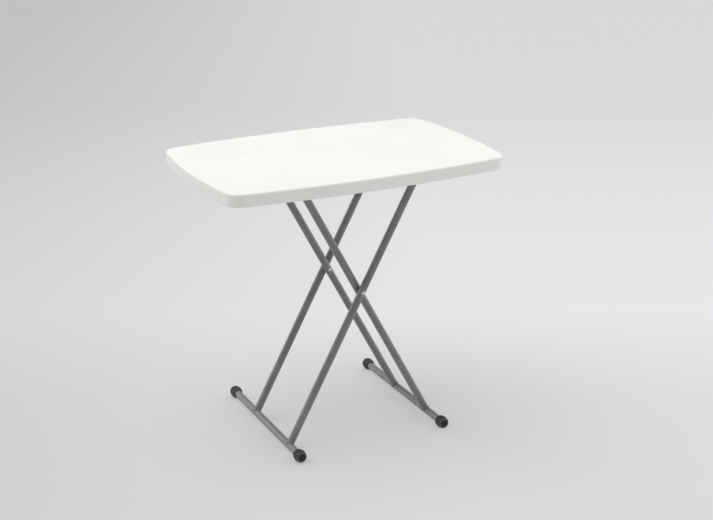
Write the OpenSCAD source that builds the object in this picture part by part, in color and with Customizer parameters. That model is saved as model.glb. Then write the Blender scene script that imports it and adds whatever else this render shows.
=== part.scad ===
// Folding personal table: a blow-moulded top on two crossed tubular leg frames.
// The top bars of both frames slide along slotted rails under the top, so the
// frames open flat and fold up beneath it. A notched spring strip holds the height.
// Millimetres. +Z is up. The origin is on the floor, under the middle of the top.

/* [Table top] */
// Length of the top along X, at its middle
top_l = 762; // [600:1:1000]
// Width of the top along Y, at its middle
top_w = 495; // [450:1:620]
// Height of the table with its legs at the tallest setting
table_h = 714; // [680:1:800]
// Depth of the top at its rim
rim_t = 32; // [26:0.5:40]
// How far each short side bows out past its corners
short_bow = 22; // [10:1:40]
// How far each long side bows out past its corners
long_bow = 25; // [8:0.5:40]
// Radius of the four corners
corner_r = 36; // [20:1:60]
// Radius of the rounded upper edge
edge_r = 5; // [3:0.5:8]
// Thickness of the moulded wall
wall = 2.6; // [1.8:0.1:4]
// Width of the rim's underside
rim_w = 20; // [14:0.5:26]
// Depth of the recess inside the rim
recess = 6; // [3:0.5:8]

/* [Tack-offs] */
// Radius of a tack-off at its mouth
tack_r = 9; // [6:0.5:12]
// Radius of a tack-off at its floor
tack_floor_r = 5; // [3:0.5:6]
// Distance between tack-offs, both ways
tack_pitch = 50; // [45:1:70]
// Free band beside the legs' middle line, kept for the rails
tack_clear = 80; // [70:1:100]
// Least distance between a tack-off's mouth and the rim
tack_rim_gap = 5; // [3:0.5:15]

/* [Legs] */
// Angle of the legs above the floor
leg_angle = 61.6; // [55:0.1:68]
// Height of the crossing rivets above the floor
pivot_h = 390.8; // [340:0.1:430]
// Place of the crossing along X
leg_x = 4.5; // [-10:0.5:10]
// Place of the legs' middle line along Y
leg_y = -39; // [-45:0.5:0]
// Outer diameter of a leg tube
leg_d = 19; // [16:0.5:22]
// Wall of every steel tube
tube_wall = 1.2; // [1:0.1:1.6]
// Distance between the two tubes of the outer frame
outer_gap = 209; // [190:0.5:240]
// Washer space between crossing tubes
washer_gap = 1.5; // [1.2:0.1:2.5]
// Length of leg tube past the weld bead round its top bar
tube_end = 1; // [0.5:0.5:3]

/* [Bars] */
// Diameter of the top bars
bar_d = 16; // [14:0.5:18]
// Depth of the top bars' middle below the rim
bar_drop = 10; // [9:0.5:14]
// Diameter of the foot bars
foot_d = 19; // [16:0.5:21]
// Distance between the middles of the two caps on a foot bar
foot_span = 410; // [340:1:440]
// Width of a weld bead
bead = 2; // [1:0.1:3]

/* [Foot caps] */
// Largest diameter of a foot cap
cap_d = 31; // [28:0.5:38]
// Length of a foot cap
cap_l = 24; // [20:0.5:30]
// Diameter of a foot cap at its two ends
cap_end_d = 26; // [24:0.5:28]
// Number of grooves round a foot cap
cap_grooves = 16; // [10:1:20]
// Radius of one groove
groove_r = 2; // [1:0.1:2.2]
// Distance of the grooves from the cap's open end
groove_in = 3; // [2:0.1:6]
// Distance of the grooves from the cap's closed end
groove_out = 3; // [2:0.1:8]
// Thickness of the cap's closed end
cap_floor = 4; // [3:0.5:6]
// Diameter of the sunk disc in the cap's closed end
cap_disc_d = 18; // [12:0.5:20]
// Depth of the sunk disc
cap_disc_in = 1; // [0.5:0.1:2]

/* [Plugs] */
// Depth of a plug's stem inside its leg tube
plug_stem = 12; // [8:0.5:20]
// Height of a plug's domed crown
plug_crown = 3; // [2:0.5:4]

/* [Rivets] */
// Diameter of a rivet's shank
rivet_d = 6; // [5:0.5:7]
// Diameter of a rivet's domed head
rivet_head_d = 9; // [8:0.5:12]
// Height of a rivet's domed head
rivet_head_h = 2.4; // [2:0.1:4]
// Diameter of the plastic washers between the tubes
washer_d = 14.5; // [12:0.5:19]

/* [Rails and glides] */
// Distance between the two rails' webs
rail_gap = 100; // [90:1:110]
// Place of the crossing along X when the legs are folded flat
flat_x = 15.5; // [10:0.5:20]
// Clearance between a rail's end and the rim
rail_clear = 3; // [2:0.5:6]
// Sheet thickness of a rail
rail_t = 2; // [1.5:0.1:2.5]
// Width of a rail's upper flange
rail_flange = 24; // [20:0.5:28]
// Width of a rail's lower flange
rail_lip = 10; // [8:0.5:14]
// Web left past the outer end of a slot
slot_end = 6; // [4:0.5:10]
// Free slot left past a glide at each end of its travel
slot_spare = 2; // [1:0.5:3]
// Nylon left before and behind the bar in a glide
glide_cheek = 4; // [3:0.5:6]
// Nylon left above and below the bar in a glide
glide_skin = 1; // [0.8:0.1:1.5]
// Thickness of a glide's flanges
glide_flange = 3; // [2:0.5:4]
// How far a glide's flanges stand past the slot
glide_lap = 3; // [2:0.5:3.5]

/* [Height catch] */
// Width of the spring strip
catch_w = 36; // [24:1:44]
// Thickness of the spring strip
catch_t = 1.5; // [1:0.1:2]
// Radius of the ridges that hold the bar
ridge_r = 5; // [3:0.5:6]
// Number of table heights that the strip holds
settings = 3; // [1:1:3]
// Drop in table height from one setting to the next
setting_drop = 76; // [50:1:80]
// Length of the strip's screwed tab
catch_tab = 40; // [32:1:50]
// Length of the pull at the strip's free end
catch_pull = 18; // [12:1:24]
// Angle of the pull below the strip
pull_angle = 53; // [30:1:70]

/* [Screws] */
// Diameter of a screw
screw_d = 4; // [3:0.5:5]
// Length of a screw in the top
screw_l = 13; // [10:0.5:15]
// Diameter of a screw's head
screw_head_d = 9; // [7:0.5:10]
// Height of a screw's head
screw_head_h = 2.4; // [2:0.1:3]
// Diameter of a screw head's flat crown
screw_crown_d = 6.3; // [4:0.1:8]
// Distance of a rail's end screws from its ends
screw_in = 20; // [12:1:30]
// Distance of a rail's middle screws from the middle of the top
screw_mid = 70; // [40:1:90]
// Diameter of the moulded boss round each screw
boss_d = 16; // [12:0.5:20]

/* [Clearances] */
// Radial clearance of a part that turns on another
run_fit = 0.08; // [0.02:0.01:0.1]
// Clearance of a part that slides in another
slide_fit = 0.25; // [0.15:0.05:0.5]
// Clearance under a glide's flanges, above a rail's lower flange
lip_gap = 1; // [0.5:0.1:2]
// Clearance between parts that only pass each other
pass_gap = 0.4; // [0.3:0.1:1]

/* [Hidden] */
$fn = 64;
// Facets of the large bowed circles, of a cap's belly and of the small domes
bow_fn = 720;
belly_fn = 180;
dome_fn = 128;
// Steps in the rounded upper edge of the top
edge_steps = 4;
// Overlap that makes one shape cut clean through another
fuse = 1;
// Angle of the legs above the rails when they are folded flat
flat_angle = 2;
// Places of the strip's two screws along its tab, as shares of the tab
catch_screw_x = [0.25, 0.75];

leg_r = leg_d / 2;
bar_r = bar_d / 2;
foot_r = foot_d / 2;
cap_r = cap_d / 2;
rivet_r = rivet_d / 2;
screw_r = screw_d / 2;

rim_z = table_h - rim_t;
under_z = rim_z + recess;
bar_z = rim_z - bar_drop;

// Radii of the four bowed sides, from half a side and its bow
short_r = ((top_w / 2) ^ 2 + short_bow ^ 2) / (2 * short_bow);
long_r = ((top_l / 2) ^ 2 + long_bow ^ 2) / (2 * long_bow);
short_c = [top_l / 2 - short_r, 0];
long_c = [0, top_w / 2 - long_r];

// Middle of the right rear corner's arc, which touches both bowed sides
corner_d = norm(short_c - long_c);
corner_a = ((long_r - corner_r) ^ 2 - (short_r - corner_r) ^ 2 + corner_d ^ 2) / (2 * corner_d);
corner_h = sqrt((long_r - corner_r) ^ 2 - corner_a ^ 2);
corner_u = (short_c - long_c) / corner_d;
corner_c = long_c + corner_a * corner_u + corner_h * [corner_u[1], -corner_u[0]];

// Distances along a leg, from its crossing
upper_len = (bar_z - pivot_h) / sin(leg_angle);
lower_len = (pivot_h - cap_r) / sin(leg_angle);
bar_x = upper_len * cos(leg_angle);
leg_over = bar_r + bead + tube_end;

// The inner frame's tubes stand inside the outer frame's, a washer apart
inner_gap = outer_gap - 2 * (leg_d + washer_gap);

// Fold of the legs: the outer frame's bar slides evenly with the fold angle, and the
// fold ends early if the flat bars would pass the ends of the rails
recess_x = top_l / 2 - short_r + sqrt(short_r ^ 2 - (rail_gap / 2 - leg_y) ^ 2) - rim_w;
glide_l = bar_d + 2 * glide_cheek;
slot_half = glide_l / 2 + slot_spare;
bar_reach = recess_x - rail_clear - slot_end - slot_half;
end_angle = max(flat_angle, acos(min(1, (bar_reach - flat_x) / upper_len)));
outer_far = flat_x + upper_len * cos(end_angle);
outer_travel = outer_far - leg_x - bar_x;
fold_angle = leg_angle - end_angle;
fold_rad = fold_angle * PI / 180;
function leg_angle_at(h) = asin((h - (table_h - bar_z) - cap_r) / (upper_len + lower_len));
function inner_bar_at(a) = leg_x + bar_x + outer_travel * (leg_angle - a) / fold_angle
    - 2 * upper_len * cos(a);

// Furthest place of the inner bar, which turns back just before the end
turn_angle = asin(outer_travel / fold_rad / (2 * upper_len));
inner_far = inner_bar_at(turn_angle);

// Rails and what runs in them
web_y = rail_gap / 2;
outer_slot = [leg_x + bar_x - slot_half, outer_far + slot_half];
inner_slot = [inner_far - slot_half, leg_x - bar_x + slot_half];
rail_x = [inner_slot[0] - slot_end, outer_slot[1] + slot_end];
rail_l = rail_x[1] - rail_x[0];
glide_h = bar_d + 2 * glide_skin;
slot_h = glide_h + 2 * slide_fit;
glide_flange_l = glide_l + 2 * glide_lap;
glide_flange_h = glide_h + 2 * glide_lap;
rail_h = under_z - bar_z + glide_flange_h / 2 + lip_gap + rail_t;
rail_screw_x = [rail_x[0] + screw_in, -screw_mid, screw_mid, rail_x[1] - screw_in];
rail_screw_y = web_y - rail_t - (rail_flange - rail_t) / 2;

// The spring strip
catch_z = bar_z - bar_r - pass_gap;
ridge_dx = sqrt((bar_r + ridge_r + pass_gap) ^ 2 - (bar_r + pass_gap) ^ 2);
catch_x = [for (i = [0:settings - 1]) inner_bar_at(leg_angle_at(table_h - i * setting_drop))];
catch_start = catch_x[0] + 2 * bar_r + 2 * ridge_r;
catch_end = catch_x[len(catch_x) - 1] - 2 * bar_r - ridge_r;
catch_rise = under_z - catch_z;

steel_grey = "#85878a";
cap_black = "#26272a";
zinc = "#b9bdc0";
nylon = "#e6e4dc";

// ---- Placing helpers ----

// Puts children on a leg: the crossing becomes the origin and +Z runs up the leg.
// lean is 1 for the outer frame, -1 for the inner; side is -1 at the front, 1 at the rear.
module on_leg(lean, side) {
    gap = lean > 0 ? outer_gap : inner_gap;
    translate([leg_x, leg_y + side * gap / 2, pivot_h])
        rotate([0, lean * (90 - leg_angle), 0])
            children();
}

// A solid rod along Y between two Y values, at a place in the XZ plane
module rod_y(x, z, r, y0, y1) {
    translate([x, y0, z])
        rotate([-90, 0, 0])
            cylinder(h = y1 - y0, r = r);
}

// The outside of one leg, as a solid rod that can be grown
module leg_rod(lean, side, grow = 0) {
    on_leg(lean, side)
        translate([0, 0, -lower_len])
            cylinder(h = lower_len + upper_len + leg_over, r = leg_r + grow);
}

function foot_x(lean) = leg_x - lean * lower_len * cos(leg_angle);
function top_x(lean) = leg_x + lean * bar_x;

// ---- Table top ----

// The bowed outline, moved in by inset on all sides
module outline(inset = 0) {
    difference() {
        intersection() {
            translate(short_c) circle(r = short_r - inset, $fn = bow_fn);
            translate(-short_c) circle(r = short_r - inset, $fn = bow_fn);
            translate(long_c) circle(r = long_r - inset, $fn = bow_fn);
            translate(-long_c) circle(r = long_r - inset, $fn = bow_fn);
        }
        for (sx = [-1, 1], sy = [-1, 1])
            scale_corner(sx, sy)
                corner_wedge();
    }
    for (sx = [-1, 1], sy = [-1, 1])
        translate([sx * corner_c[0], sy * corner_c[1]])
            circle(r = corner_r - inset);
}

// Mirrors the right rear corner to the corner with the given signs
module scale_corner(sx, sy) {
    mirror([sx < 0 ? 1 : 0, 0])
        mirror([0, sy < 0 ? 1 : 0])
            children();
}

// Everything outwards of the two points where the corner's arc begins
module corner_wedge() {
    to_long = (corner_c - long_c) / norm(corner_c - long_c);
    to_short = (corner_c - short_c) / norm(corner_c - short_c);
    reach = top_w / 4;
    polygon([corner_c, corner_c + reach * to_short,
        corner_c + reach * (to_long + to_short), corner_c + reach * to_long]);
}

// A slab of the outline between two heights
module slab(z0, z1, inset = 0) {
    translate([0, 0, z0])
        linear_extrude(z1 - z0)
            outline(inset);
}

// The outside: an upright rim with its upper edge rounded in thin steps
module top_outside(inset = 0) {
    slab(rim_z + inset, table_h - edge_r, inset);
    for (i = [1:edge_steps]) {
        rise = edge_r * i / edge_steps;
        side = edge_r - sqrt(edge_r ^ 2 - (rise - edge_r / edge_steps / 2) ^ 2);
        slab(table_h - edge_r, table_h - edge_r + rise - inset, side + inset);
    }
}

// Middles of the tack-offs, clear of the rim and of the rails
tack_cols = floor(top_l / 2 / tack_pitch);
tack_rows = floor(top_w / 2 / tack_pitch);
tack_inset = rim_w + tack_r + tack_rim_gap;
function inside(p, inset) = min([for (s = [-1, 1])
    min(short_r - norm(p + s * short_c), long_r - norm(p + s * long_c))]) > inset;
tack_xy = [for (i = [-tack_cols:tack_cols], j = [-tack_rows:tack_rows])
    if (inside([i, j] * tack_pitch, tack_inset) && abs(j * tack_pitch - leg_y) > tack_clear)
        [i, j] * tack_pitch];

// Middles of the screws, for the rails and for the spring strip
screw_xy = concat(
    [for (x = rail_screw_x, side = [-1, 1]) [x, leg_y + side * rail_screw_y]],
    [for (k = catch_screw_x) [catch_start + catch_rise + k * catch_tab, leg_y]]
);

module table_top() {
    color("white")
        difference() {
            top_outside();
            slab(rim_z - fuse, under_z, rim_w);
            difference() {
                union() {
                    slab(under_z + wall, table_h - edge_r, wall);
                    slab(table_h - edge_r - fuse, table_h - wall, edge_r);
                    difference() {
                        slab(rim_z + wall, under_z + wall + fuse, wall);
                        slab(rim_z, under_z + wall + 2 * fuse, rim_w - wall);
                    }
                }
                for (p = tack_xy)
                    translate([p[0], p[1], under_z])
                        cylinder(h = rim_t, r1 = tack_r + wall, r2 = tack_floor_r + wall);
                for (p = screw_xy)
                    translate([p[0], p[1], under_z])
                        cylinder(h = rim_t, d = boss_d);
            }
            for (p = tack_xy)
                translate([p[0], p[1], under_z - fuse])
                    cylinder(h = table_h - wall - under_z, r1 = tack_r, r2 = tack_floor_r);
            for (p = screw_xy)
                translate([p[0], p[1], under_z - fuse])
                    cylinder(h = screw_l + 2 * fuse, r = screw_r);
        }
}

// ---- Rails ----

module rail(side) {
    color(zinc)
        translate([0, leg_y, 0])
            mirror([0, side < 0 ? 1 : 0, 0])
                difference() {
                    union() {
                        translate([rail_x[0], web_y - rail_t, under_z - rail_h])
                            cube([rail_l, rail_t, rail_h]);
                        translate([rail_x[0], web_y - rail_flange, under_z - rail_t])
                            cube([rail_l, rail_flange, rail_t]);
                        translate([rail_x[0], web_y - rail_lip, under_z - rail_h])
                            cube([rail_l, rail_lip, rail_t]);
                    }
                    for (slot = [outer_slot, inner_slot])
                        translate([slot[0], web_y - rail_t - fuse, bar_z - slot_h / 2])
                            cube([slot[1] - slot[0], rail_t + 2 * fuse, slot_h]);
                    for (x = rail_screw_x)
                        translate([x, rail_screw_y, under_z - rail_t - fuse])
                            cylinder(h = rail_t + 2 * fuse, r = screw_r + pass_gap);
                }
}

module rail_front() { rail(-1); }
module rail_rear() { rail(1); }

// Pan-head screws that hold the rails and the spring strip to the top
module fixing_screws() {
    color("#9a9ea2")
        for (i = [0:len(screw_xy) - 1])
            translate([screw_xy[i][0], screw_xy[i][1], 0]) {
                sheet = i < 2 * len(rail_screw_x) ? rail_t : catch_t;
                translate([0, 0, under_z - sheet])
                    cylinder(h = screw_l + sheet, r = screw_r);
                translate([0, 0, under_z - sheet - screw_head_h])
                    cylinder(h = screw_head_h, d1 = screw_crown_d, d2 = screw_head_d);
            }
}

// ---- Spring strip that holds the height ----

// The strip's middle line in the XZ plane: pull, flat, ramp and tab
catch_low = catch_z - catch_t / 2;
catch_high = under_z - catch_t / 2;
catch_bend = catch_start + catch_rise;
catch_path = [
    [catch_end - catch_pull * cos(pull_angle), catch_low - catch_pull * sin(pull_angle)],
    [catch_end, catch_low],
    [catch_start, catch_low],
    [catch_bend, catch_high],
    [catch_bend + catch_tab, catch_high]
];
catch_last = len(catch_path) - 1;

// Unit normal at the left of stretch i, and the mitre at point i for an offset of 1
function left_of(i) = let (run = catch_path[i + 1] - catch_path[i])
    [-run[1], run[0]] / norm(run);
function mitre(i) = let (a = left_of(max(i - 1, 0)), b = left_of(min(i, catch_last - 1)))
    (a + b) / (1 + a * b);

module catch_profile() {
    polygon(concat(
        [for (i = [0:catch_last]) catch_path[i] + mitre(i) * catch_t / 2],
        [for (i = [catch_last:-1:0]) catch_path[i] - mitre(i) * catch_t / 2]
    ));
    for (x = catch_x, side = [-1, 1])
        intersection() {
            translate([x + side * ridge_dx, catch_z])
                circle(r = ridge_r);
            translate([x + side * ridge_dx - ridge_r, catch_low])
                square([2 * ridge_r, 2 * ridge_r]);
        }
}

module height_catch() {
    color("#a9adb1")
        difference() {
            translate([0, leg_y + catch_w / 2, 0])
                rotate([90, 0, 0])
                    linear_extrude(catch_w)
                        catch_profile();
            for (k = catch_screw_x)
                translate([catch_bend + k * catch_tab, leg_y, under_z - catch_t - fuse])
                    cylinder(h = catch_t + 2 * fuse, r = screw_r + pass_gap);
        }
}

// ---- Leg tubes ----

// One tube: coped over its foot bar, drilled for its rivet and open at the top
module leg_tube(lean, side) {
    hole_r = rivet_r + (lean > 0 ? 0 : run_fit);
    color(steel_grey)
        difference() {
            on_leg(lean, side)
                difference() {
                    translate([0, 0, -lower_len + bead])
                        cylinder(h = lower_len - bead + upper_len + leg_over, r = leg_r);
                    translate([0, 0, -lower_len])
                        cylinder(h = lower_len + upper_len + leg_over + fuse,
                            r = leg_r - tube_wall);
                    rotate([90, 0, 0])
                        cylinder(h = 2 * leg_d, r = hole_r, center = true);
                }
            rod_y(foot_x(lean), cap_r, foot_r, -foot_span, foot_span);
        }
}

module leg_outer_front() { leg_tube(1, -1); }
module leg_outer_rear() { leg_tube(1, 1); }
module leg_inner_front() { leg_tube(-1, -1); }
module leg_inner_rear() { leg_tube(-1, 1); }

// ---- Bars ----

// A round bar between a frame's two legs, coped to fit their sides
module top_bar(lean) {
    gap = lean > 0 ? outer_gap : inner_gap;
    color(steel_grey)
        difference() {
            rod_y(top_x(lean), bar_z, bar_r, leg_y - gap / 2, leg_y + gap / 2);
            rod_y(top_x(lean), bar_z, bar_r - tube_wall, leg_y - gap, leg_y + gap);
            leg_rod(lean, -1);
            leg_rod(lean, 1);
        }
}

module top_bar_outer() { top_bar(1); }
module top_bar_inner() { top_bar(-1); }

// The tube that a frame stands on, open at both ends inside its caps
module foot_bar(lean) {
    half = foot_span / 2 + cap_l / 2 - cap_floor;
    color(steel_grey)
        difference() {
            rod_y(foot_x(lean), cap_r, foot_r, -half, half);
            rod_y(foot_x(lean), cap_r, foot_r - tube_wall, -half - fuse, half + fuse);
        }
}

module foot_bar_outer() { foot_bar(1); }
module foot_bar_inner() { foot_bar(-1); }

// Half a weld bead's round section, swept round a rod of radius r along +Z
module bead_ring(r) {
    rotate_extrude()
        intersection() {
            translate([r, 0])
                circle(r = bead);
            translate([r, -bead])
                square(2 * bead);
        }
}

// Weld beads where a frame's legs meet its two bars
module weld_beads(lean) {
    gap = lean > 0 ? outer_gap : inner_gap;
    color("#77797c")
        for (side = [-1, 1]) {
            difference() {
                on_leg(lean, side)
                    translate([0, 0, -lower_len + foot_r])
                        bead_ring(leg_r);
                rod_y(foot_x(lean), cap_r, foot_r, -foot_span, foot_span);
            }
            difference() {
                translate([top_x(lean), leg_y + side * (gap / 2 - leg_r), bar_z])
                    rotate([90, 0, 0])
                        bead_ring(bar_r);
                leg_rod(lean, side);
            }
        }
}

module weld_beads_outer() { weld_beads(1); }
module weld_beads_inner() { weld_beads(-1); }

// ---- Caps and plugs ----

// A ribbed barrel cap, modelled along +Z with its closed end up
module cap_shape() {
    belly = ((cap_l / 2) ^ 2 + ((cap_d - cap_end_d) / 2) ^ 2) / (cap_d - cap_end_d);
    difference() {
        rotate_extrude()
            intersection() {
                translate([0, -cap_l / 2])
                    square([cap_r + fuse, cap_l]);
                translate([cap_r - belly, 0])
                    circle(r = belly, $fn = belly_fn);
            }
        for (i = [0:cap_grooves - 1])
            rotate((i + 0.5) * 360 / cap_grooves)
                translate([cap_r, 0, groove_in - cap_l / 2])
                    cylinder(h = cap_l - groove_in - groove_out, r = groove_r);
        translate([0, 0, cap_l / 2 - cap_disc_in])
            cylinder(h = cap_disc_in + fuse, d = cap_disc_d);
        translate([0, 0, -cap_l / 2 - fuse])
            cylinder(h = cap_l - cap_floor + fuse, r = foot_r);
    }
}

module foot_cap(lean, side) {
    color(cap_black)
        translate([foot_x(lean), side * foot_span / 2, cap_r])
            rotate([-side * 90, 0, 0])
                cap_shape();
}

module foot_cap_outer_front() { foot_cap(1, -1); }
module foot_cap_outer_rear() { foot_cap(1, 1); }
module foot_cap_inner_front() { foot_cap(-1, -1); }
module foot_cap_inner_rear() { foot_cap(-1, 1); }

// Plastic plugs that close the upper ends of a frame's tubes
module leg_plugs(lean) {
    crown_r = (leg_r ^ 2 + plug_crown ^ 2) / (2 * plug_crown);
    color(cap_black)
        for (side = [-1, 1])
            on_leg(lean, side)
                translate([0, 0, upper_len + leg_over]) {
                    translate([0, 0, -plug_stem])
                        cylinder(h = plug_stem, r = leg_r - tube_wall);
                    intersection() {
                        cylinder(h = plug_crown, r = leg_r);
                        translate([0, 0, plug_crown - crown_r])
                            sphere(r = crown_r, $fn = dome_fn);
                    }
                }
}

module leg_plugs_outer() { leg_plugs(1); }
module leg_plugs_inner() { leg_plugs(-1); }

// ---- Crossing rivets and washers ----

// Half the section of a dome of radius r and height h, standing on the X axis
module half_dome(r, h) {
    dome_r = (r ^ 2 + h ^ 2) / (2 * h);
    intersection() {
        square([r, h]);
        translate([0, h - dome_r])
            circle(r = dome_r, $fn = dome_fn);
    }
}

// A rivet through both tubes, with a domed head at each end
module rivet(side) {
    outer_end = leg_y + side * (outer_gap / 2 + leg_r);
    inner_end = leg_y + side * (inner_gap / 2 - leg_r);
    grip = abs(outer_end - inner_end);
    color("#d4d7d9")
        translate([leg_x, min(outer_end, inner_end), pivot_h])
            rotate([-90, 0, 0])
                rotate_extrude() {
                    square([rivet_r, grip]);
                    translate([0, grip])
                        half_dome(rivet_head_d / 2, rivet_head_h);
                    mirror([0, 1])
                        half_dome(rivet_head_d / 2, rivet_head_h);
                }
}

module rivet_front() { rivet(-1); }
module rivet_rear() { rivet(1); }

// A flat washer that keeps two crossing tubes apart
module washer(side) {
    start = leg_y + side * (outer_gap / 2 - leg_r - washer_gap + run_fit);
    finish = leg_y + side * (outer_gap / 2 - leg_r);
    color(cap_black)
        difference() {
            rod_y(leg_x, pivot_h, washer_d / 2, min(start, finish), max(start, finish));
            rod_y(leg_x, pivot_h, rivet_r, start - leg_d, start + leg_d);
        }
}

module washer_front() { washer(-1); }
module washer_rear() { washer(1); }

// ---- Glides ----

// A flanged block that runs in a rail's slot and turns on a top bar
module glide(lean, side) {
    inside = web_y - rail_t - slide_fit;
    outside = web_y + slide_fit;
    color(nylon)
        translate([top_x(lean), leg_y, bar_z])
            mirror([0, side < 0 ? 1 : 0, 0])
                difference() {
                    union() {
                        translate([-glide_l / 2, inside, -glide_h / 2])
                            cube([glide_l, outside - inside, glide_h]);
                        for (y = [inside - glide_flange, outside])
                            translate([-glide_flange_l / 2, y, -glide_flange_h / 2])
                                cube([glide_flange_l, glide_flange, glide_flange_h]);
                    }
                    rod_y(0, 0, bar_r + run_fit, 0, rail_gap);
                }
}

module glide_outer_front() { glide(1, -1); }
module glide_outer_rear() { glide(1, 1); }
module glide_inner_front() { glide(-1, -1); }
module glide_inner_rear() { glide(-1, 1); }

table_top();
rail_front();
rail_rear();
fixing_screws();
height_catch();
leg_outer_front();
leg_outer_rear();
leg_inner_front();
leg_inner_rear();
top_bar_outer();
top_bar_inner();
foot_bar_outer();
foot_bar_inner();
foot_cap_outer_front();
foot_cap_outer_rear();
foot_cap_inner_front();
foot_cap_inner_rear();
leg_plugs_outer();
leg_plugs_inner();
weld_beads_outer();
weld_beads_inner();
rivet_front();
rivet_rear();
washer_front();
washer_rear();
glide_outer_front();
glide_outer_rear();
glide_inner_front();
glide_inner_rear();
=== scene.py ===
# %% [markdown]
# # A folding personal table
# The real table is a white blow-moulded top on two crossed frames of round grey tube.
# Each frame stands on a foot bar with a ribbed black cap at each end, and its top bar
# slides in slotted rails under the top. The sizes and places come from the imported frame,
# so every surface below is worked out from the box of the piece that it stands for.

import bmesh
import bpy
import numpy as np
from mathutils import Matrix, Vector, geometry


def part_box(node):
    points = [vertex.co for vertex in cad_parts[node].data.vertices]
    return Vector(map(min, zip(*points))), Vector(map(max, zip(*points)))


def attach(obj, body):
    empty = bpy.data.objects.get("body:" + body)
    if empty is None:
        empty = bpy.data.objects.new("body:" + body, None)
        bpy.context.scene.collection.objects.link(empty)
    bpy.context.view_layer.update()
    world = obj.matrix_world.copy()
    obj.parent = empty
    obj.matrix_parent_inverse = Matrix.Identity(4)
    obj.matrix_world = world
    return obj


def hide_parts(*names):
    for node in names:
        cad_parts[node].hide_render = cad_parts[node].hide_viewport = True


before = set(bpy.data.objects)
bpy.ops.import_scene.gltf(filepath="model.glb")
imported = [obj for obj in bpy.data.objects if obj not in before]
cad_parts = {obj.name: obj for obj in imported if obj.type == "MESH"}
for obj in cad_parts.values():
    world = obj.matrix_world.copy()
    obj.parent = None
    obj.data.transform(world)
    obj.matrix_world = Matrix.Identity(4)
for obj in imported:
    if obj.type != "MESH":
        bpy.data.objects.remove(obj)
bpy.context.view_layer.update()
MM = 0.001
print("pieces in the frame:", len(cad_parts))


def centre(node):
    """Middle of a node's box, as an array of metres."""
    low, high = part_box(node)
    return (np.array(low) + np.array(high)) / 2


def extent(node):
    """Size of a node's box along X, Y and Z, as an array of metres."""
    low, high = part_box(node)
    return np.array(high) - np.array(low)


# %% [markdown]
# ## From an array of points to a mesh
# Every new piece is a grid of points: rows run one way over the surface, columns the
# other. A grid is quick to compute as one array, and its faces follow from the row and
# column numbers alone, so one helper can close a tube, a ring or a dome.

# %% Grid helpers


def grid_faces(rows, cols, wrap_rows=False, wrap_cols=True, start=0):
    """Quads of a grid: each joins a point to its neighbours in the next row and column."""
    r = np.arange(rows if wrap_rows else rows - 1)
    c = np.arange(cols if wrap_cols else cols - 1)
    r, c = np.meshgrid(r, c, indexing="ij")
    r2, c2 = (r + 1) % rows, (c + 1) % cols
    quads = np.stack([r * cols + c, r * cols + c2, r2 * cols + c2, r2 * cols + c], axis=-1)
    return quads.reshape(-1, 4) + start


def build(name, parts, material, body, stands_for=(), sharp=32):
    """Joins point grids into one mesh with outward faces, and ties it to a body."""
    verts, faces, count = [], [], 0
    for points, quads in parts:
        flat = np.asarray(points, dtype=float).reshape(-1, 3)
        verts.append(flat)
        faces += (np.asarray(quads) + count).tolist()
        count += len(flat)
    mesh = bpy.data.meshes.new(name)
    mesh.from_pydata(np.concatenate(verts).tolist(), [], faces)
    bm = bmesh.new()
    bm.from_mesh(mesh)
    bmesh.ops.remove_doubles(bm, verts=bm.verts, dist=0.002 * MM)
    bmesh.ops.dissolve_degenerate(bm, edges=bm.edges, dist=0.001 * MM)
    bmesh.ops.recalc_face_normals(bm, faces=bm.faces)
    open_edges = sum(1 for e in bm.edges if not e.is_manifold)
    bm.to_mesh(mesh)
    bm.free()
    mesh.shade_smooth()
    mesh.set_sharp_from_angle(angle=np.radians(sharp))
    mesh.materials.append(material)
    piece = bpy.data.objects.new(name, mesh)
    bpy.context.scene.collection.objects.link(piece)
    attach(piece, body)
    if stands_for:
        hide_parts(*stands_for)
    print(f"{name}: {len(mesh.polygons)} faces, {open_edges} open edges")
    return piece


BAR_TURNS = 64
SMALL_TURNS = 48


def lathe(profile, turns):
    """Turns a profile of (radius, height) round Z: x = r cos a, y = r sin a, z = height."""
    profile = np.asarray(profile, dtype=float)
    a = np.linspace(0, 2 * np.pi, turns, endpoint=False)
    x = profile[:, :1] * np.cos(a)
    y = profile[:, :1] * np.sin(a)
    z = np.repeat(profile[:, 1:], turns, axis=1)
    return np.stack([x, y, z], axis=-1)


def place(points, origin, along, across=(0, 1, 0)):
    """Moves points so that local Z runs along a direction and local X lies along across."""
    z = np.array(along, dtype=float) / np.linalg.norm(along)
    x = np.array(across, dtype=float)
    x = x - z * x.dot(z)
    x /= np.linalg.norm(x)
    y = np.cross(z, x)
    return np.asarray(origin) + points @ np.stack([x, y, z])


def arc(middle, radius, start, finish, steps=8):
    """Points of an arc in the plane of (radius, height), with angles in degrees."""
    a = np.radians(np.linspace(start, finish, steps + 1))
    return np.stack([middle[0] + radius * np.cos(a), middle[1] + radius * np.sin(a)], axis=-1)


# %% [markdown]
# ## Materials
# Each finish starts from what it is on the real table. Colours are given as sRGB hex
# values, as a paint maker would, and one function turns them to the linear values that
# the shader works with. Pattern sizes are in millimetres on the piece, read from its
# own Object coordinates, so a pattern moves with its piece.

# %% Colour and node helpers


def linear(code):
    """sRGB hex to linear: c / 12.92 below 0.04045, ((c + 0.055) / 1.055) ^ 2.4 above."""
    c = np.array([int(code[i : i + 2], 16) for i in (1, 3, 5)]) / 255
    lin = np.where(c <= 0.04045, c / 12.92, ((c + 0.055) / 1.055) ** 2.4)
    return (*[float(v) for v in lin], 1.0)


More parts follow.
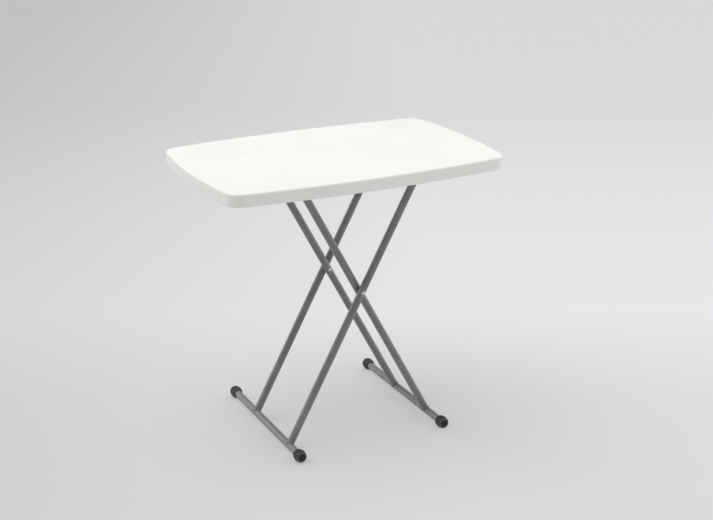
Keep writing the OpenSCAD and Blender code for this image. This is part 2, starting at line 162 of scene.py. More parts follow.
def add_node(tree, kind, links=(), **settings):
    """Adds a node, sets its options or input values by name, and links inputs to outputs."""
    node = tree.nodes.new(kind)
    for key, value in settings.items():
        if hasattr(node, key):
            setattr(node, key, value)
        else:
            node.inputs[key.replace("_", " ")].default_value = value
    for socket, source, output in links:
        tree.links.new(source.outputs[output], node.inputs[socket])
    return node


def finish(name, colour, rough, ior=1.5, metal=0.0):
    """A new material with its base values set; returns it, its tree and its shader."""
    material = bpy.data.materials.new(name)
    material.use_nodes = True
    tree = material.node_tree
    shader = tree.nodes["Principled BSDF"]
    shader.inputs["Base Color"].default_value = linear(colour)
    shader.inputs["Roughness"].default_value = rough
    shader.inputs["Metallic"].default_value = metal
    if metal == 0:
        shader.inputs["IOR"].default_value = ior
    return material, tree, shader


def noise(tree, size_mm, detail=3.0, stretch=(1, 1, 1)):
    """Noise with lumps of the given size; stretch lengthens them along an axis."""
    where = add_node(tree, "ShaderNodeTexCoord")
    scale = tuple(1 / s for s in stretch)
    mapping = add_node(tree, "ShaderNodeMapping", [("Vector", where, "Object")], Scale=scale)
    return add_node(tree, "ShaderNodeTexNoise", [("Vector", mapping, "Vector")],
                    Scale=1 / (size_mm * MM), Detail=detail)


def bump(tree, shader, source, depth_mm, strength=1.0):
    """Adds a height pattern to the shader's normal, after any bump that is there."""
    links = [("Height", source, "Fac")]
    if shader.inputs["Normal"].is_linked:
        before = shader.inputs["Normal"].links[0].from_node
        links.append(("Normal", before, "Normal"))
    node = add_node(tree, "ShaderNodeBump", links, Strength=strength, Distance=depth_mm * MM)
    tree.links.new(node.outputs["Normal"], shader.inputs["Normal"])


def vary(tree, shader, socket, source, low, high):
    """Drives a shader input between two values, or two hex colours, by a pattern."""
    if isinstance(low, str):
        ramp = add_node(tree, "ShaderNodeValToRGB", [("Fac", source, "Fac")])
        ramp.color_ramp.elements[0].position = 0.35
        ramp.color_ramp.elements[1].position = 0.65
        ramp.color_ramp.elements[0].color = linear(low)
        ramp.color_ramp.elements[1].color = linear(high)
        tree.links.new(ramp.outputs["Color"], shader.inputs[socket])
    else:
        span = add_node(tree, "ShaderNodeMapRange", [("Value", source, "Fac")],
                        From_Min=0.3, From_Max=0.7, To_Min=low, To_Max=high)
        tree.links.new(span.outputs["Result"], shader.inputs[socket])


# %% [markdown]
# High-density polyethylene is blown against a lightly blasted steel mould. The skin
# comes out white, with a soft sheen, a fine pebble grain and a very slow waviness
# where the hollow wall has shrunk. The grain of the real skin is about half a
# millimetre across; here it is drawn at 1.6 mm, because half a millimetre is too
# fine to show.

# %% White moulded polyethylene


def moulded_polyethylene():
    """White skin: slow shades, patches of sheen, shallow waviness and pebble grain."""
    material, tree, shader = finish("white_moulded_polyethylene", "#f4f3f0", 0.46, ior=1.54)
    shader.inputs["Subsurface Weight"].default_value = 0.06
    shader.inputs["Subsurface Radius"].default_value = (0.004, 0.004, 0.004)
    vary(tree, shader, "Base Color", noise(tree, 160, 2), "#f2f1ee", "#f6f5f2")
    vary(tree, shader, "Roughness", noise(tree, 22), 0.41, 0.53)
    bump(tree, shader, noise(tree, 90, 1), 0.5, 0.25)
    bump(tree, shader, noise(tree, 1.6, 2), 0.06, 0.5)
    return material


# %% [markdown]
# The tubes are steel with a grey epoxy powder coat, baked so that it flows into a thin
# even film. It keeps the slight orange peel of the melted powder, about a millimetre
# from lump to lump, and a satin sheen that turns soft highlights along each tube.

# %% Grey powder coat


def powder_coat(name, light, dark, rough=0.36):
    """Grey satin film with a thin clear layer and orange peel."""
    material, tree, shader = finish(name, light, rough, ior=1.52)
    shader.inputs["Coat Weight"].default_value = 0.3
    shader.inputs["Coat Roughness"].default_value = 0.28
    vary(tree, shader, "Base Color", noise(tree, 35, 4), dark, light)
    vary(tree, shader, "Roughness", noise(tree, 9, 3), rough - 0.05, rough + 0.08)
    bump(tree, shader, noise(tree, 1.1, 2), 0.03, 0.3)
    return material


# %% [markdown]
# The caps and plugs are black polypropylene with a matt spark-eroded grain. The
# grooves and the sunk end disc of each cap take the same finish in a near-black tone,
# which is painted shade in these recesses.

# %% Black moulded plastic


def black_polypropylene(name, dark, light):
    """Matt black with a fine eroded grain, between two tones."""
    material, tree, shader = finish(name, dark, 0.48, ior=1.49)
    vary(tree, shader, "Base Color", noise(tree, 6, 4), dark, light)
    vary(tree, shader, "Roughness", noise(tree, 3, 3), 0.42, 0.58)
    bump(tree, shader, noise(tree, 0.7, 2), 0.06, 0.5)
    return material


# %% [markdown]
# The rails and screws are zinc plated. Bright zinc is a slightly blue metal, and the
# rolled sheet below keeps fine lines along its length, drawn here as noise that is
# stretched along the rail.

# %% Metals and nylon


def plated_steel(name, colour, rough, lines_mm=0.8, along=(40, 1, 1)):
    """Metal whose sheen and fine lines follow one noise, stretched along the piece."""
    material, tree, shader = finish(name, colour, rough, metal=1.0)
    grain = noise(tree, lines_mm, 3, along)
    vary(tree, shader, "Roughness", grain, rough - 0.07, rough + 0.1)
    bump(tree, shader, grain, 0.03, 0.35)
    return material


def natural_nylon():
    """Cream nylon that lets a little light in."""
    material, tree, shader = finish("natural_nylon", "#e9e5d8", 0.38, ior=1.53)
    shader.inputs["Subsurface Weight"].default_value = 0.15
    shader.inputs["Subsurface Radius"].default_value = (0.003, 0.0028, 0.0024)
    vary(tree, shader, "Roughness", noise(tree, 4), 0.33, 0.46)
    bump(tree, shader, noise(tree, 1.5, 2), 0.03, 0.4)
    return material


white_plastic = moulded_polyethylene()
grey_coat = powder_coat("grey_powder_coat", "#7d7d7a", "#727270")
grey_weld = powder_coat("grey_powder_coat_on_weld", "#747471", "#696966", 0.42)
black_plastic = black_polypropylene("black_moulded_polypropylene", "#3d3e3f", "#525354")
# Near-black copy of the cap finish: painted shade for the grooves and the sunk end disc
groove_shade_plastic = black_polypropylene("black_polypropylene_painted_groove_shade", "#060607", "#0c0c0d")
zinc = plated_steel("zinc_plated_rolled_steel", "#b4b9bd", 0.34)
screw_zinc = plated_steel("zinc_plated_screw", "#a9adb0", 0.3, 0.6, (1, 1, 1))
spring_steel = plated_steel("polished_spring_steel", "#9a9da0", 0.28)
rivet_nickel = plated_steel("nickel_plated_rivet", "#d5d6d4", 0.24, 1.2, (1, 1, 1))
nylon = natural_nylon()

# %% [markdown]
# ## The top's outline
# All four sides bow outwards. Each is an arc of a very large circle, and each corner is
# a small arc that touches both. A point moves inwards by making every radius smaller
# round the same middle, so one function gives the outline at any inset.

# %% Bowed outline

top_low, top_high = (np.array(v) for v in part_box("table_top"))
half_l, half_w = (top_high - top_low)[:2] / 2
rim_z, top_z = top_low[2], top_high[2]
SHORT_BOW = 22 * MM
LONG_BOW = 25 * MM
CORNER_R = 36 * MM

short_r = (half_w**2 + SHORT_BOW**2) / (2 * SHORT_BOW)
long_r = (half_l**2 + LONG_BOW**2) / (2 * LONG_BOW)
short_c = np.array([half_l - short_r, 0.0])
long_c = np.array([0.0, half_w - long_r])


def corner_middle():
    """Where the circles of radius short_r - corner and long_r - corner cross."""
    gap = short_c - long_c
    d = np.linalg.norm(gap)
    a = ((long_r - CORNER_R) ** 2 - (short_r - CORNER_R) ** 2 + d**2) / (2 * d)
    h = np.sqrt((long_r - CORNER_R) ** 2 - a**2)
    u = gap / d
    return long_c + a * u + h * np.array([u[1], -u[0]])


corner_c = corner_middle()
SIDE_STEPS = 22
CORNER_STEPS = 18


def outline(inset=0.0):
    """Closed outline from arcs: middle of the right side, corner, middle of the long side,
    then the same quarter mirrored to the other three corners."""
    a_short = np.arctan2(*(corner_c - short_c)[::-1])
    a_long = np.arctan2(*(corner_c - long_c)[::-1])
    runs = [
        (short_c, short_r, np.linspace(0, a_short, SIDE_STEPS, endpoint=False)),
        (corner_c, CORNER_R, np.linspace(a_short, a_long, CORNER_STEPS, endpoint=False)),
        (long_c, long_r, np.linspace(a_long, np.pi / 2, SIDE_STEPS, endpoint=False)),
    ]
    quarter = np.concatenate([
        c + (r - inset) * np.stack([np.cos(a), np.sin(a)], axis=-1) for c, r, a in runs
    ])
    last = np.array([[0, half_w - inset]])
    q1 = np.concatenate([quarter, last])
    q2 = q1[::-1][1:] * [-1, 1]
    q3 = q1[1:] * [-1, -1]
    q4 = q1[::-1][1:-1] * [1, -1]
    return np.concatenate([q1, q2, q3, q4])


rim_points = len(outline())
print("outline points:", rim_points)

# %% [markdown]
# ## The moulded top
# One closed skin. Its section starts at the foot of the recess, goes round the rim's
# underside, up the side and over the rounded edge, and that section is carried round
# the outline as a grid. The upper face shrinks in rings to its middle. The underside
# has deep cone-shaped wells, where the mould presses the lower skin up to the upper
# one to stiffen the top: a flat sheet with round holes is triangulated once, and each
# well is a small turned surface in its hole.

# %% Section of the rim

RECESS = 6 * MM
RIM_W = 20 * MM
EDGE_R = 5 * MM
FOOT_R = 2.5 * MM
INNER_R = 2 * MM
under_z = rim_z + RECESS

section = np.concatenate([
    [[RIM_W + INNER_R, under_z]],
    arc((RIM_W + INNER_R, under_z - INNER_R), INNER_R, 90, 180, 4)[1:],
    arc((RIM_W - FOOT_R, rim_z + FOOT_R), FOOT_R, 0, -90, 5),
    arc((FOOT_R, rim_z + FOOT_R), FOOT_R, -90, -180, 5),
    [[0.0, z] for z in np.linspace(rim_z + 6 * MM, top_z - EDGE_R - 1 * MM, 5)],
    arc((EDGE_R, top_z - EDGE_R), EDGE_R, 180, 90, 9),
])


def ring(inset, z, scale=1.0):
    """The outline at an inset and a height, drawn in towards the middle by scale."""
    xy = outline(inset) * scale
    return np.concatenate([xy, np.full((rim_points, 1), z)], axis=1)


side_grid = np.stack([ring(d, z) for d, z in section])
edge_scales = 1 - np.array([0.0, 0.004, 0.012, 0.03])
face_scales = np.concatenate([edge_scales, np.linspace(0.94, 0.0, 14)])
face_grid = np.stack([ring(EDGE_R, top_z, s) for s in face_scales])

# %% Underside with its wells

TACK_R = 9 * MM
TACK_FLOOR_R = 5 * MM
TACK_LIP = 1.5 * MM
TACK_DEPTH = 22.4 * MM
TACK_PITCH = 50 * MM
TACK_REACH = (350 * MM, 200 * MM)
TACK_RIM_GAP = 5 * MM
RAIL_BAND = 80 * MM
WELL_TURNS = 32

legs_y = (centre("rail_front")[1] + centre("rail_rear")[1]) / 2
tack_x = np.arange(-TACK_REACH[0], TACK_REACH[0] + TACK_PITCH / 2, TACK_PITCH)
tack_y = np.arange(-TACK_REACH[1], TACK_REACH[1] + TACK_PITCH / 2, TACK_PITCH)


def room(p):
    """Distance from a point to the nearest bowed side: the least of r - |p - c|."""
    gaps = [r - np.linalg.norm(p + s * c)
            for s in (-1, 1) for r, c in ((short_r, short_c), (long_r, long_c))]
    return min(gaps)


grid_xy = np.array([[x, y] for x in tack_x for y in tack_y if abs(y - legs_y) > RAIL_BAND])
wells = np.array([p for p in grid_xy if room(p) > RIM_W + TACK_R + TACK_RIM_GAP])
mouth = TACK_R + TACK_LIP


def sheet_with_holes(edge, holes, radius):
    """Triangles between a closed edge and round holes, by constrained Delaunay."""
    a = np.linspace(0, 2 * np.pi, WELL_TURNS, endpoint=False)
    circle = radius * np.stack([np.cos(a), np.sin(a)], axis=-1)
    loops = [edge] + [h + circle for h in holes]
    points = np.concatenate(loops)
    edges, start = [], 0
    for loop in loops:
        n = np.arange(len(loop))
        edges += np.stack([start + n, start + (n + 1) % len(loop)], axis=-1).tolist()
        start += len(loop)
    cut = geometry.delaunay_2d_cdt([Vector(p) for p in points], edges, [], 1, 1e-7)
    flat = np.array([v[:] for v in cut[0]])
    tris = np.array([f for f in cut[2] if len(f) == 3])
    middles = flat[tris].mean(axis=1)
    gaps = np.linalg.norm(middles[:, None] - np.asarray(holes)[None], axis=2).min(axis=1)
    return flat, tris[gaps > radius * np.cos(np.pi / WELL_TURNS)]


sheet_xy, sheet_tris = sheet_with_holes(outline(RIM_W + INNER_R), wells, mouth)
sheet_points = np.concatenate([sheet_xy, np.full((len(sheet_xy), 1), under_z)], axis=1)

well_section = np.concatenate([
    arc((mouth, TACK_LIP), TACK_LIP, -90, -180, 4),
    [[TACK_FLOOR_R + 1.2 * MM, TACK_DEPTH - 2.4 * MM]],
    arc((TACK_FLOOR_R - 1 * MM, TACK_DEPTH - 2 * MM), 2 * MM, 0, 90, 4),
    [[0.0, TACK_DEPTH]],
])
well_grid = lathe(well_section, WELL_TURNS)
top_parts = [
    (side_grid, grid_faces(len(section), rim_points)),
    (face_grid, grid_faces(len(face_scales), rim_points)),
    (sheet_points, sheet_tris),
]
for x, y in wells:
    top_parts.append((well_grid + [x, y, under_z], grid_faces(len(well_section), WELL_TURNS)))
build("moulded_top", top_parts, white_plastic, "top", ["table_top"])

# %% [markdown]
# ## The leg tubes
# Each leg is a straight tube from its foot bar to its top bar. Its lower end is coped,
# cut to the round of the foot bar, so its length changes round the tube: where the tube
# is s off its middle, the foot bar's surface stands at the square root of R squared less
# s squared. The direction comes from the two bars that the leg joins.

# %% Leg tubes, coped onto the foot bars

TUBE_WALL = 1.2 * MM
LEG_OVER = 11 * MM
LEG_TURNS = 72
COPE_LEAST = 2 * MM
FRAMES = {"outer": "outer_frame", "inner": "inner_frame"}
SIDES = ("front", "rear")


def leg_line(which, side):
    """Foot and head of a leg's middle line, and its radius, from the frame's boxes."""
    foot, head = centre(f"foot_bar_{which}"), centre(f"top_bar_{which}")
    y = centre(f"leg_{which}_{side}")[1]
    foot[1] = head[1] = y
    return foot, head, extent(f"leg_{which}_{side}")[1] / 2


def cope(radius, turns, bar_r, least):
    """Height of the foot bar's surface under each point round a tube: sqrt(R2 - s2)."""
    a = np.linspace(0, 2 * np.pi, turns, endpoint=False)
    s = radius * np.sin(a)
    return np.maximum(np.sqrt(np.maximum(bar_r**2 - s**2, 0)), least)


def leg_tube(which, side):
    """Closed wall along Z: each point runs from h = cope(r, a) to the length, out and back."""
    foot, head, radius = leg_line(which, side)
    bar_r = extent(f"foot_bar_{which}")[2] / 2
    length = np.linalg.norm(head - foot) + LEG_OVER
    rows = []
    a = np.linspace(0, 2 * np.pi, LEG_TURNS, endpoint=False)
    steps = np.linspace(0, 1, 9)
    for r, ts in ((radius, steps), (radius - TUBE_WALL, steps[::-1])):
        low = cope(r, LEG_TURNS, bar_r, COPE_LEAST)
        for t in ts:
            z = low + (length - low) * t
            rows.append(np.stack([r * np.cos(a), r * np.sin(a), z], axis=-1))
    grid = place(np.stack(rows), foot, head - foot)
    name = f"leg_tube_{which}_{side}"
    build(name, [(grid, grid_faces(len(rows), LEG_TURNS, wrap_rows=True))],
          grey_coat, FRAMES[which], [f"leg_{which}_{side}"])


for which in FRAMES:
    for side in SIDES:
        leg_tube(which, side)

# %% [markdown]
# ## Bars
# The foot bars are plain tubes whose open ends hide inside the caps. The top bars run
# between the legs and carry the glides. Both are turned from a closed section: out
# along the wall, and back inside it.

# %% Foot bars and top bars


def bar(name, node, body):
    """A tube along Y from its box: outside, end, inside and back as one closed section."""
    low, high = (np.array(v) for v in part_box(node))
    radius, length = (high - low)[2] / 2, (high - low)[1]
    inner, ease = radius - TUBE_WALL, 0.3 * MM
    out = np.linspace(ease, length - ease, 9)
    section = np.concatenate([
        [[radius - ease, 0.0]], [[radius, z] for z in out], [[radius - ease, length]],
        [[inner, length], [inner, 0.0]],
    ])
    middle = centre(node)
    start = (middle[0], low[1], middle[2])
    grid = place(lathe(section, BAR_TURNS), start, (0, 1, 0), (1, 0, 0))
    build(name, [(grid, grid_faces(len(section), BAR_TURNS, wrap_rows=True))],
          grey_coat, body, [node])


for which, body in FRAMES.items():
    bar(f"foot_tube_{which}", f"foot_bar_{which}", body)
    bar(f"top_tube_{which}", f"top_bar_{which}", body)

# %% [markdown]
# ## Weld beads
# A weld is a string of small overlapping ripples laid round the joint. A ring follows
# the coped end of the leg, and its thickness swells and shrinks with each ripple.

# %% Rippled weld beads

BEAD_R = 1.9 * MM
RIPPLES = 22
RIPPLE_DEPTH = 0.16
BEAD_STEPS = 132
BEAD_SIDES = 12
BEAD_LEAST = 2.5 * MM
BEAD_SINK = (0.5 * MM, 0.3 * MM)
SEAT_SINK = 0.6 * MM


def bead(path, normals, along):
    """A rope round a closed path: at each point a circle of radius b (1 + d cos(n a))."""
    n = len(path)
    turn = np.linspace(0, 2 * np.pi, n, endpoint=False)
    b = BEAD_R * (1 + RIPPLE_DEPTH * np.cos(RIPPLES * turn))
    around = np.linspace(0, 2 * np.pi, BEAD_SIDES, endpoint=False)[None, :, None]
    out = np.cos(around) * normals[:, None] + np.sin(around) * along
    return path[:, None] + b[:, None, None] * out


def frame_welds(which, body):
    """Ropes round each leg's coped foot, at h = cope(r, a), and round the top bar."""
    parts = []
    a = np.linspace(0, 2 * np.pi, BEAD_STEPS, endpoint=False)
    ring_out = np.stack([np.cos(a), np.sin(a), 0 * a], axis=-1)
    rope_faces = grid_faces(BEAD_STEPS, BEAD_SIDES, wrap_rows=True)
    for side in SIDES:
        foot, head, radius = leg_line(which, side)
        bar_r = extent(f"foot_bar_{which}")[2] / 2
        low = cope(radius, BEAD_STEPS, bar_r, BEAD_LEAST)
        path = ring_out * (radius - BEAD_SINK[0]) + np.stack([0 * a, 0 * a, low], axis=-1)
        rope = bead(path, ring_out, np.array([0, 0, 1.0]))
        parts.append((place(rope, foot, head - foot), rope_faces))
        top_r = extent(f"top_bar_{which}")[2] / 2
        turn_in = 1 if side == "front" else -1
        seat = head + [0, turn_in * (radius - SEAT_SINK), 0]
        rope = bead(ring_out * (top_r - BEAD_SINK[1]), ring_out, np.array([0, 0, 1.0]))
        parts.append((place(rope, seat, (0, turn_in, 0), (1, 0, 0)), rope_faces))
    build(f"weld_beads_{which}_rippled", parts, grey_weld, body,
          [f"weld_beads_{which}"], sharp=70)


for which, body in FRAMES.items():
    frame_welds(which, body)

# %% [markdown]
# ## Ribbed foot caps
# A cap is a barrel with sixteen oval grooves along it and a flat end. Its radius is one
# formula of the place along the cap and the angle round it: the barrel's arc, less a
# groove that is a rounded wave round the cap, faded out near both ends.

# %% Foot caps

CAP_GROOVES = 16
GROOVE_DEPTH = 2.3 * MM
# How far inside the ribs' surface a groove face starts to take the painted shade
GROOVE_SHADE_INSET = 0.6 * MM
CAP_END_R = 13 * MM
DISC_R = 8.8 * MM
CAP_COLS = CAP_GROOVES * 18
CAP_FLOOR = 4 * MM
BORE_GAP = 0.05 * MM
GROOVE_EDGE = (0.16, 0.46)
FADE_OPEN = (1.6 * MM, 4.2 * MM)
FADE_END = (4.2 * MM, 2.2 * MM)
# How far under the groove floor, and how far short of the closed end, the painted shade reaches
SHADE_BELOW_FLOOR = 2.5 * MM
SHADE_SHORT_OF_END = 2.0 * MM
DISC_DEPTH = 1.2 * MM


def smooth_step(x, low, high):
    """0 below low, 1 above high, with a cubic ease between: 3 t^2 - 2 t^3."""
    t = np.clip((x - low) / (high - low), 0, 1)
    return t * t * (3 - 2 * t)


def paint_groove_shade(piece, middle, belly, radius, half):
    """Paints shade into the grooves and the sunk end disc: their faces take the near-black
    finish.
    """
    mesh = piece.data
    mesh.materials.append(groove_shade_plastic)
    at = np.array([p.center[:] for p in mesh.polygons]) - middle
    away = np.hypot(at[:, 0], at[:, 2])
    barrel = radius - belly + np.sqrt(belly**2 - at[:, 1] ** 2)
    deep = (away < barrel - GROOVE_SHADE_INSET) & (away > radius - GROOVE_DEPTH - SHADE_BELOW_FLOOR)
    deep &= np.abs(at[:, 1]) < half - SHADE_SHORT_OF_END
    deep |= (away < DISC_R) & (np.abs(at[:, 1]) > half - DISC_DEPTH)
    mesh.polygons.foreach_set("material_index", deep.astype(np.int32))


def foot_cap(which, side, body):
    """r(z, a) = barrel(z) - depth * fade(z) * groove(a), closed by a turned end and bore."""
    node = f"foot_cap_{which}_{side}"
    radius, length = extent(node)[2] / 2, extent(node)[1]
    bar_r = extent(f"foot_bar_{which}")[2] / 2
    half = length / 2
    belly = (half**2 + (radius - CAP_END_R) ** 2) / (2 * (radius - CAP_END_R))
    z = np.linspace(-half + 0.8 * MM, half - 1.6 * MM, 34)
    barrel = radius - belly + np.sqrt(belly**2 - z**2)
    a = np.linspace(0, 2 * np.pi, CAP_COLS, endpoint=False)
    wave = 0.5 - 0.5 * np.cos(CAP_GROOVES * a)
    groove = smooth_step(wave, *GROOVE_EDGE)
    fade = smooth_step(z, -half + FADE_OPEN[0], -half + FADE_OPEN[1])
    fade *= 1 - smooth_step(z, half - FADE_END[0], half - FADE_END[1])
    r = barrel[:, None] - GROOVE_DEPTH * fade[:, None] * groove[None, :]
    wall = np.stack([r * np.cos(a), r * np.sin(a), np.repeat(z[:, None], len(a), 1)], axis=-1)
    end_r = barrel[-1]
    end = np.concatenate([
        arc((end_r - 1.6 * MM, half - 1.6 * MM), 1.6 * MM, 8, 90, 6),
        [[DISC_R + 0.9 * MM, half]],
        arc((DISC_R + 0.2 * MM, half - 0.7 * MM), 0.7 * MM, 90, 170, 4),
        [[DISC_R - 0.5 * MM, half - 1.0 * MM], [DISC_R * 0.6, half - 0.75 * MM],
         [DISC_R * 0.3, half - 0.65 * MM], [0.0, half - 0.62 * MM]],
    ])
    open_r = barrel[0]
    back = np.concatenate([
        [[bar_r + BORE_GAP, half - CAP_FLOOR], [bar_r + BORE_GAP, -half + 0.5 * MM]],
        arc((bar_r + 0.6 * MM, -half + 0.6 * MM), 0.5 * MM, 180, 270, 3),
        arc((open_r - 0.8 * MM, -half + 0.8 * MM), 0.8 * MM, 270, 350, 4),
    ])
    floor = [[0.0, half - CAP_FLOOR], [bar_r + BORE_GAP, half - CAP_FLOOR]]
    rows = [lathe(np.concatenate([floor, back]), CAP_COLS), wall, lathe(end, CAP_COLS)]
    grid = np.concatenate(rows)
    out = (0, -1, 0) if side == "front" else (0, 1, 0)
    piece = build(f"ribbed_cap_{which}_{side}",
                  [(place(grid, centre(node), out, (0, 0, 1)), grid_faces(len(grid), CAP_COLS))],
                  black_plastic, body, [node], sharp=60)
    # Painted shade: the groove faces and the sunk end disc take the near-black finish
    paint_groove_shade(piece, centre(node), belly, radius, half)


for which, body in FRAMES.items():
    for side in SIDES:
        foot_cap(which, side, body)

# %% [markdown]
# ## Plugs, rivets and washers
# Small turned pieces. A rivet is one section turned round its axis: a low dome, a shank
# through both tubes and the head that was formed on the far side. A short skirt under
# each head closes down on the round tube, as the real head does when it is set.

# %% Plugs in the tubes' upper ends

PLUG_CROWN = 3 * MM
PLUG_STEM = 12 * MM
PLUG_EASE = 0.3 * MM


def plugs(which, body):
    """Turned section: stem, flange edge and a crown of radius (r^2 + c^2) / 2c."""
    parts = []
    for side in SIDES:
        foot, head, radius = leg_line(which, side)
        dome = (radius**2 + PLUG_CROWN**2) / (2 * PLUG_CROWN)
        reach = np.degrees(np.arcsin((radius - 0.5 * MM) / dome))
        section = np.concatenate([
            [[0.0, -PLUG_STEM], [radius - TUBE_WALL, -PLUG_STEM], [radius - TUBE_WALL, 0.0]],
            arc((radius - PLUG_EASE, PLUG_EASE), PLUG_EASE, -90, 20, 4),
            arc((0.0, PLUG_CROWN - dome), dome, 90 - reach, 90, 8),
        ])
        seat = head + (head - foot) / np.linalg.norm(head - foot) * LEG_OVER
        grid = place(lathe(section, SMALL_TURNS), seat, head - foot)
        parts.append((grid, grid_faces(len(section), SMALL_TURNS)))
    build(f"tube_plugs_{which}", parts, black_plastic, body, [f"leg_plugs_{which}"])


for which, body in FRAMES.items():
    plugs(which, body)

# %% Crossing rivets and washers

RIVET_DOME = 2.4 * MM
RIVET_SKIRT = 1.0 * MM
SHANK_R = 3 * MM
WASHER_HOLE_R = 3.02 * MM
WASHER_EASE = 0.25 * MM


def rivet(side):
    """Turned section: skirt, flat edge and dome at each end of a plain shank."""
    node = f"rivet_{side}"
    low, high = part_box(node)
    head_r, length = extent(node)[2] / 2, high[1] - low[1]
    neck = RIVET_DOME + RIVET_SKIRT
    dome = (head_r**2 + RIVET_DOME**2) / (2 * RIVET_DOME)
    reach = np.degrees(np.arcsin((head_r - 0.25 * MM) / dome))
    cap = np.concatenate([
        [[SHANK_R, neck], [head_r - 0.4 * MM, neck], [head_r, RIVET_DOME]],
        arc((0.0, dome), dome, -90 + reach, -90, 10),
    ])
    far = cap[::-1] * [1, -1] + [0, length]
    section = np.concatenate([cap[::-1], far[::-1]])
    middle = centre(node)
    start = (middle[0], low[1], middle[2])
    grid = place(lathe(section, SMALL_TURNS), start, (0, 1, 0), (1, 0, 0))
    build(f"domed_rivet_{side}", [(grid, grid_faces(len(section), SMALL_TURNS))],
          rivet_nickel, "outer_frame", [node])


def washer(side):
    """Turned rectangle from the hole to the rim, with eased outer edges."""
    node = f"washer_{side}"
    low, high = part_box(node)
    radius, length = extent(node)[2] / 2, high[1] - low[1]
    section = np.array([
        [WASHER_HOLE_R, 0], [radius - WASHER_EASE, 0], [radius, WASHER_EASE],
        [radius, length - WASHER_EASE], [radius - WASHER_EASE, length], [WASHER_HOLE_R, length],
    ])
    middle = centre(node)
    start = (middle[0], low[1], middle[2])
    grid = place(lathe(section, BAR_TURNS), start, (0, 1, 0), (1, 0, 0))
    build(f"flat_washer_{side}", [(grid, grid_faces(len(section), BAR_TURNS, wrap_rows=True))],
          black_plastic, "outer_frame", [node])


for side in SIDES:
    rivet(side)
    washer(side)

# %% [markdown]
# ## Carried-over pieces
# The rails, the spring strip, the screws and the glides are sheet metal and small
# blocks whose shape in the frame is already right, so they only take their finish.

# %% Finishes for the carried-over pieces

for node in ("rail_front", "rail_rear"):
    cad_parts[node].data.materials[0] = zinc
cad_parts["height_catch"].data.materials[0] = spring_steel
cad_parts["fixing_screws"].data.materials[0] = screw_zinc
for which in FRAMES:
    for side in SIDES:
        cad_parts[f"glide_{which}_{side}"].data.materials[0] = nylon

# %% [markdown]
# ## Studio
# A pale floor runs far past the table, so no edge shows. It glows a little, though it is
# no lamp: painted light that fills the shadow under the table and lights the table from
# below, with painted brighter and darker bands along the view and painted shade towards
# the left. One very wide soft light above makes the upper face the brightest. Two more,
# just as wide but low, at the left rear and at the right, lighten both edges of each tube.

# %% Floor

AZIMUTH = -27.2
FLOOR_HALF = 30.0
REFLECTED = 0.38
# Strength of the floor's painted glow: painted light that thins the shadow under the table
PAINTED_GLOW = 0.45
# How bright the floor looks (0 to 255) at places along the view, in metres past the table
BRIGHTNESS = {-0.5: 221, 0.1: 223, 0.7: 232, 1.6: 229, 2.5: 224, 3.5: 218, 7.0: 217}
VIEW_SPAN = (-1.0, 7.0)
# Across the view, in metres: the painted glow falls to this share of itself towards the left, as
# painted shade
FADE_SPAN = (-2.2, 0.3)
LEFT_SHARE = 0.5


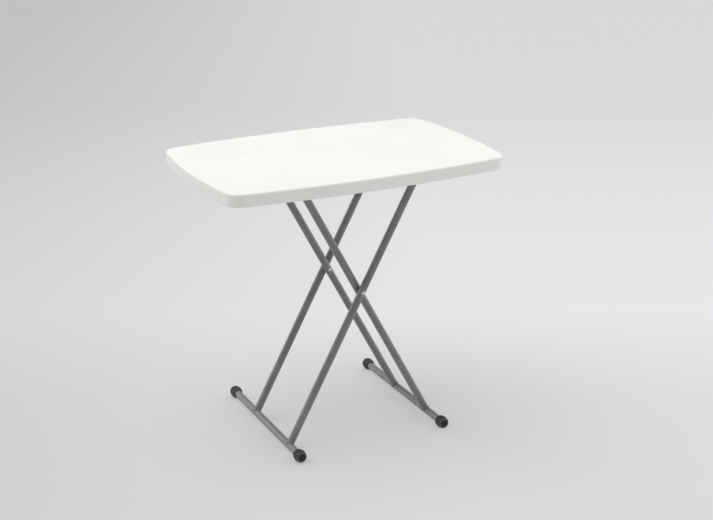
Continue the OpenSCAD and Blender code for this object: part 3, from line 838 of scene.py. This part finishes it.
def studio_floor():
    """Painted glow = (look - what it reflects) / strength, along the view; it fades to the left
    as painted shade.
    """
    material, tree, shader = finish("studio_floor_with_painted_glow", "#9b9b9b", 0.9, ior=1.4)
    where = add_node(tree, "ShaderNodeTexCoord")
    turned = add_node(tree, "ShaderNodeMapping", [("Vector", where, "Object")],
                      Rotation=(0.0, 0.0, -np.radians(AZIMUTH)))
    split = add_node(tree, "ShaderNodeSeparateXYZ", [("Vector", turned, "Vector")])
    depth = add_node(tree, "ShaderNodeMapRange", [("Value", split, "Y")],
                     From_Min=VIEW_SPAN[0], From_Max=VIEW_SPAN[1])
    ramp = add_node(tree, "ShaderNodeValToRGB", [("Fac", depth, "Result")])
    stops = ramp.color_ramp.elements
    while len(stops) < len(BRIGHTNESS):
        stops.new(0.5)
    for stop, (v, look) in zip(stops, BRIGHTNESS.items()):
        stop.position = (v - VIEW_SPAN[0]) / (VIEW_SPAN[1] - VIEW_SPAN[0])
        glow = (linear(f"#{look:02x}{look:02x}{look:02x}")[0] - REFLECTED) / PAINTED_GLOW
        stop.color = (glow, glow, glow, 1.0)
    tree.links.new(ramp.outputs["Color"], shader.inputs["Emission Color"])
    # Painted shade: the glow grows weaker towards the left
    fade = add_node(tree, "ShaderNodeMapRange", [("Value", split, "X")],
                    From_Min=FADE_SPAN[0], From_Max=FADE_SPAN[1],
                    To_Min=LEFT_SHARE * PAINTED_GLOW, To_Max=PAINTED_GLOW)
    tree.links.new(fade.outputs["Result"], shader.inputs["Emission Strength"])
    shader.inputs["Specular IOR Level"].default_value = 0.1
    h = FLOOR_HALF
    mesh = bpy.data.meshes.new("studio_floor")
    mesh.from_pydata([(-h, -h, 0), (h, -h, 0), (h, h, 0), (-h, h, 0)], [], [(0, 1, 2, 3)])
    mesh.materials.append(material)
    floor = bpy.data.objects.new("studio_floor", mesh)
    bpy.context.scene.collection.objects.link(floor)


studio_floor()

# %% Lights


SPREAD = 60


def wide_light(name, toward, strength):
    """A distant light that is SPREAD degrees wide, so that its shadows are soft."""
    data = bpy.data.lights.new(name, "SUN")
    data.energy, data.angle = strength, np.radians(SPREAD)
    lamp = bpy.data.objects.new(name, data)
    lamp.rotation_euler = Vector(toward).to_track_quat("-Z", "Y").to_euler()
    bpy.context.scene.collection.objects.link(lamp)


wide_light("overhead_softbox", (0.30, -0.12, -1.0), 1.75)
wide_light("left_rim_light", (0.62, -0.78, -0.25), 0.8)
wide_light("right_rim_light", (-0.99, 0.13, -0.25), 1.3)

WORLD_STRENGTH = 0.42
world = bpy.data.worlds.new("pale_surroundings")
world.use_nodes = True
background = world.node_tree.nodes["Background"]
background.inputs["Color"].default_value = linear("#ffffff")
background.inputs["Strength"].default_value = WORLD_STRENGTH
bpy.context.scene.world = world
bpy.context.scene.view_settings.view_transform = "Standard"

# %% [markdown]
# ## Camera
# The camera stands in front and to the left, a little above the top, so all of the
# upper face and both crossings show. Its place follows from a bearing, a height angle
# and a distance from the point that it looks at.

# %% Camera

AIM = Vector((0.064, 0.0, 0.4195))
ELEVATION = 19.8
DISTANCE = 3.45
LENS = 67.6

az, el = np.radians(AZIMUTH), np.radians(ELEVATION)
look = Vector((-np.sin(az) * np.cos(el), np.cos(az) * np.cos(el), -np.sin(el)))
data = bpy.data.cameras.new("studio_camera")
data.lens, data.sensor_width = LENS, 36.0
camera = bpy.data.objects.new("studio_camera", data)
camera.location = AIM - look * DISTANCE
camera.rotation_euler = look.to_track_quat("-Z", "Y").to_euler()
bpy.context.scene.collection.objects.link(camera)
bpy.context.scene.camera = camera
